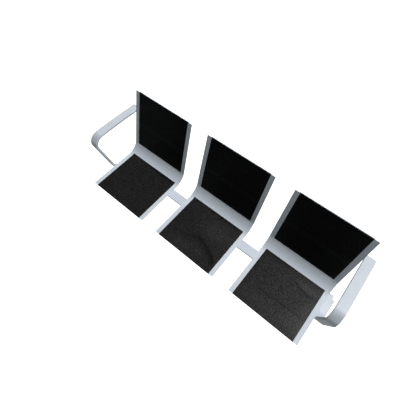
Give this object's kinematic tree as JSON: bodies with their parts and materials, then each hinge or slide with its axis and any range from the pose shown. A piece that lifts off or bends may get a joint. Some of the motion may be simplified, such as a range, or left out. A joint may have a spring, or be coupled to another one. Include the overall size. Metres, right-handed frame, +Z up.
{
  "type": "beam seating bench",
  "caption": "Waiting-room bench: bent sheet seats with let-in dark pads on a common beam, a flat bar loop arm at each end, and a leg with levelling feet under each arm.",
  "frame": {"origin": "on the floor, at the centre of the bench's bounding box", "axes": "+X along the beam to the sitter's left hand, +Y towards the backs of the seats, +Z up; a sitter faces -Y"},
  "size_m": [1.796, 0.5496, 0.8787],
  "materials": {
    "coated_aluminium": "satin silver powder coat",
    "coated_steel": "satin silver powder coat",
    "cast_aluminium": "painted casting, satin",
    "upholstery": "black grained leatherette",
    "pad_board": "plain plywood",
    "zinc_steel": "zinc plated",
    "black_plastic": "fine moulded grain",
    "foot_plastic": "moulded"
  },
  "bodies": {
    "frame": {"beam_tube": "coated_steel", "beam_rail": "coated_aluminium", "rail_screws": "zinc_steel", "seat_shell_left": "coated_aluminium", "seat_pad_left": "upholstery", "back_pad_left": "upholstery", "seat_board_left": "pad_board", "back_board_left": "pad_board", "seat_rib_left_left": "cast_aluminium", "clamp_jaw_left_left": "coated_steel", "seat_rib_left_right": "cast_aluminium", "clamp_jaw_left_right": "coated_steel", "seat_shell_middle": "coated_aluminium", "seat_pad_middle": "upholstery", "back_pad_middle": "upholstery", "seat_board_middle": "pad_board", "back_board_middle": "pad_board", "seat_rib_middle_left": "cast_aluminium", "clamp_jaw_middle_left": "coated_steel", "seat_rib_middle_right": "cast_aluminium", "clamp_jaw_middle_right": "coated_steel", "seat_shell_right": "coated_aluminium", "seat_pad_right": "upholstery", "back_pad_right": "upholstery", "seat_board_right": "pad_board", "back_board_right": "pad_board", "seat_rib_right_left": "cast_aluminium", "clamp_jaw_right_left": "coated_steel", "seat_rib_right_right": "cast_aluminium", "clamp_jaw_right_right": "coated_steel", "pad_screws": "zinc_steel", "rib_nuts": "zinc_steel", "clamp_bolts": "zinc_steel", "clamp_nuts": "zinc_steel", "arm_left": "coated_aluminium", "end_plate_left": "coated_steel", "beam_end_cap_left": "black_plastic", "leg_head_left": "coated_steel", "leg_post_left": "coated_steel", "foot_bar_left": "coated_steel", "arm_right": "coated_aluminium", "end_plate_right": "coated_steel", "beam_end_cap_right": "black_plastic", "leg_head_right": "coated_steel", "leg_post_right": "coated_steel", "foot_bar_right": "coated_steel", "arm_bolts": "zinc_steel", "arm_bolt_washers": "zinc_steel", "foot_bar_caps": "black_plastic", "foot_inserts": "zinc_steel", "lock_nuts": "zinc_steel"},
    "foot_front_left": {"foot_pad_front_left": "foot_plastic"},
    "stem_front_left": {"foot_stem_front_left": "zinc_steel"},
    "foot_rear_left": {"foot_pad_rear_left": "foot_plastic"},
    "stem_rear_left": {"foot_stem_rear_left": "zinc_steel"},
    "foot_front_right": {"foot_pad_front_right": "foot_plastic"},
    "stem_front_right": {"foot_stem_front_right": "zinc_steel"},
    "foot_rear_right": {"foot_pad_rear_right": "foot_plastic"},
    "stem_rear_right": {"foot_stem_rear_right": "zinc_steel"}
  },
  "joints": [
    {"name": "level_front_left", "type": "slide", "parent": "frame", "child": "foot_front_left", "axis": [0, 0, 1], "range_m": [-0.015, 0]},
    {"name": "turn_front_left", "type": "hinge", "parent": "foot_front_left", "child": "stem_front_left", "pos_m": [-0.8625, -0.13983, 0.014], "axis": [0, 0, 1], "range_deg": [-3600, 0]},
    {"name": "level_rear_left", "type": "slide", "parent": "frame", "child": "foot_rear_left", "axis": [0, 0, 1], "range_m": [-0.015, 0]},
    {"name": "turn_rear_left", "type": "hinge", "parent": "foot_rear_left", "child": "stem_rear_left", "pos_m": [-0.8625, 0.23017, 0.014], "axis": [0, 0, 1], "range_deg": [-3600, 0]},
    {"name": "level_front_right", "type": "slide", "parent": "frame", "child": "foot_front_right", "axis": [0, 0, 1], "range_m": [-0.015, 0]},
    {"name": "turn_front_right", "type": "hinge", "parent": "foot_front_right", "child": "stem_front_right", "pos_m": [0.8625, -0.13983, 0.014], "axis": [0, 0, 1], "range_deg": [-3600, 0]},
    {"name": "level_rear_right", "type": "slide", "parent": "frame", "child": "foot_rear_right", "axis": [0, 0, 1], "range_m": [-0.015, 0]},
    {"name": "turn_rear_right", "type": "hinge", "parent": "foot_rear_right", "child": "stem_rear_right", "pos_m": [0.8625, 0.23017, 0.014], "axis": [0, 0, 1], "range_deg": [-3600, 0]}
  ],
  "couplings": [
    {"joint": "turn_front_left", "follows": "level_front_left", "rad_per_m": 4188.8},
    {"joint": "turn_rear_left", "follows": "level_rear_left", "rad_per_m": 4188.8},
    {"joint": "turn_front_right", "follows": "level_front_right", "rad_per_m": 4188.8},
    {"joint": "turn_rear_right", "follows": "level_rear_right", "rad_per_m": 4188.8}
  ]
}
